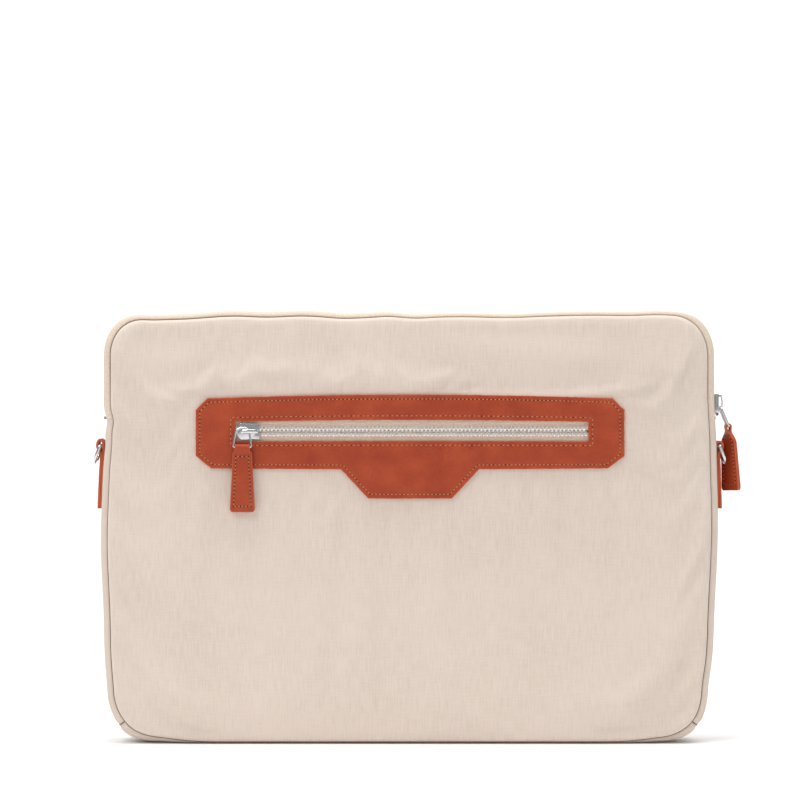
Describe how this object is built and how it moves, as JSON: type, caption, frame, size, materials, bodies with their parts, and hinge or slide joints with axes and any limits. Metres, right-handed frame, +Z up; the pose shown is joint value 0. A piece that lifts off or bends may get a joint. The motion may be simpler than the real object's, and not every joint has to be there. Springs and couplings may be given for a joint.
{
  "type": "laptop sleeve",
  "caption": "Upright padded canvas laptop sleeve with a metal zip round its mouth, a leather-framed zipped front pocket, leather zip pulls and a D-ring on a leather tab at each side.",
  "frame": {"origin": "on the ground under the middle of the sleeve's width, midway between the front and back seams", "axes": "+Z up, +X to the right seen from the front, the pocket faces -Y"},
  "size_m": [0.3683, 0.0394, 0.247],
  "materials": {
    "canvas": "beige woven canvas, matt, fine vertical rib",
    "zip_tape": "beige herringbone zip tape, slightly warmer than the canvas",
    "lining": "plain matt lining cloth",
    "foam": "closed-cell foam sheet, matt",
    "pocket_cloth": "thin plain cotton",
    "seam_tape": "woven binding tape",
    "leather": "cognac leather, satin, fine grain",
    "zip_metal": "nickel-plated zip teeth, satin",
    "slider_metal": "polished nickel",
    "ring_metal": "polished nickel-plated steel wire"
  },
  "bodies": {
    "sleeve": {"front_panel": "canvas", "back_panel": "canvas", "bottom_gusset": "canvas", "left_gusset": "canvas", "right_gusset": "canvas", "front_foam": "foam", "back_foam": "foam", "gusset_foam": "foam", "front_lining": "lining", "back_lining": "lining", "gusset_lining": "lining", "front_seam_binding": "seam_tape", "back_seam_binding": "seam_tape", "main_tape_front": "zip_tape", "main_tape_back": "zip_tape", "main_teeth_front": "zip_metal", "main_teeth_back": "zip_metal", "main_zip_stops": "zip_metal", "pocket_leather_frame": "leather", "pocket_tape_upper": "zip_tape", "pocket_tape_lower": "zip_tape", "pocket_teeth_upper": "zip_metal", "pocket_teeth_lower": "zip_metal", "pocket_zip_stops": "zip_metal", "pocket_bag_front": "pocket_cloth", "pocket_bag_back": "pocket_cloth", "left_tab_leather": "leather", "right_tab_leather": "leather"},
    "pocket_slider": {"pocket_slider_body": "slider_metal", "pocket_slider_bail": "slider_metal"},
    "pocket_ring": {"pocket_pull_ring": "slider_metal"},
    "pocket_pull": {"pocket_pull_leather": "leather"},
    "main_slider": {"main_slider_body": "slider_metal", "main_slider_bail": "slider_metal"},
    "main_ring": {"main_pull_ring": "slider_metal"},
    "main_pull": {"main_pull_leather": "leather"},
    "left_ring": {"left_d_ring": "ring_metal"},
    "right_ring": {"right_d_ring": "ring_metal"}
  },
  "joints": [
    {"name": "pocket_zip_slide", "type": "slide", "parent": "sleeve", "child": "pocket_slider", "axis": [1, 0, 0], "range_m": [0, 0.1866], "deforming": ["pocket_teeth_upper", "pocket_teeth_lower"]},
    {"name": "pocket_ring_swing", "type": "hinge", "parent": "pocket_slider", "child": "pocket_ring", "pos_m": [-0.0953, -0.0195, 0.17835], "axis": [0, 1, 0], "range_deg": [-30, 80]},
    {"name": "pocket_pull_flip", "type": "hinge", "parent": "pocket_ring", "child": "pocket_pull", "pos_m": [-0.0953, -0.0206, 0.16937], "axis": [-1, 0, 0], "range_deg": [0, 130]},
    {"name": "main_zip_slide", "type": "slide", "parent": "sleeve", "child": "main_slider", "axis": [0, 0, 1], "range_m": [0, 0.021], "deforming": ["main_teeth_front", "main_teeth_back"]},
    {"name": "main_ring_flip", "type": "hinge", "parent": "main_slider", "child": "main_ring", "pos_m": [0.1783, 0, 0.19225], "axis": [0, -1, 0], "range_deg": [0, 125]},
    {"name": "main_pull_flip", "type": "hinge", "parent": "main_ring", "child": "main_pull", "pos_m": [0.18307, 0, 0.18102], "axis": [0, -1, 0], "range_deg": [0, 55]},
    {"name": "left_d_ring_swing", "type": "hinge", "parent": "sleeve", "child": "left_ring", "pos_m": [-0.1776, 0, 0.17], "axis": [0, 1, 0], "range_deg": [-5, 148]},
    {"name": "right_d_ring_swing", "type": "hinge", "parent": "sleeve", "child": "right_ring", "pos_m": [0.1776, 0, 0.17], "axis": [0, -1, 0], "range_deg": [-5, 148], "deforming": ["main_pull_leather"]}
  ]
}
